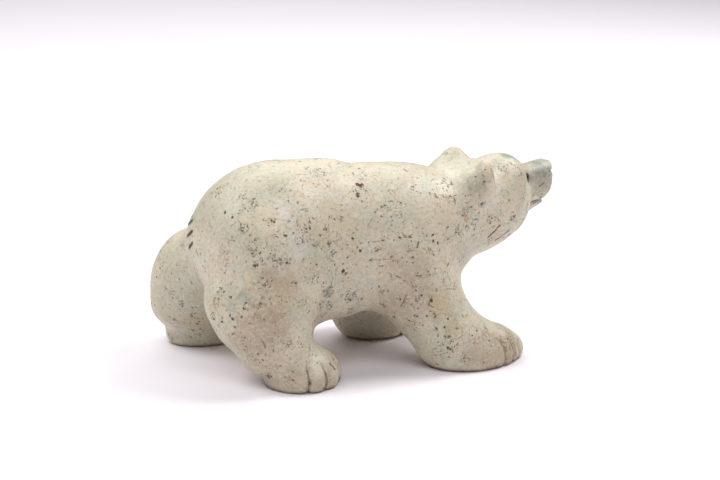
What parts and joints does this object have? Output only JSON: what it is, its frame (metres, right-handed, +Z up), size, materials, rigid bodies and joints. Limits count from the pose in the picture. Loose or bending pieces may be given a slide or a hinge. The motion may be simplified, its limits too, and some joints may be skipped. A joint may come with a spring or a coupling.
{
  "type": "stone bear carving",
  "caption": "Pale mottled stone carving of a standing bear, head raised and turned, with round black inlaid eyes; a small shelf sculpture that stands on its flat soles.",
  "frame": {"origin": "middle of the carving's box at the height of its soles", "axes": "+X towards the nose, +Y towards the bear's left, +Z up"},
  "size_m": [0.1044, 0.0558, 0.0507],
  "materials": {
    "stone": "hand polished to a soft sheen, mottled cream and grey green with small dark pits",
    "eye_stone": "polished black"
  },
  "bodies": {
    "root": {"stone_bear": "stone", "left_eye_inlay": "eye_stone", "right_eye_inlay": "eye_stone"}
  },
  "joints": []
}
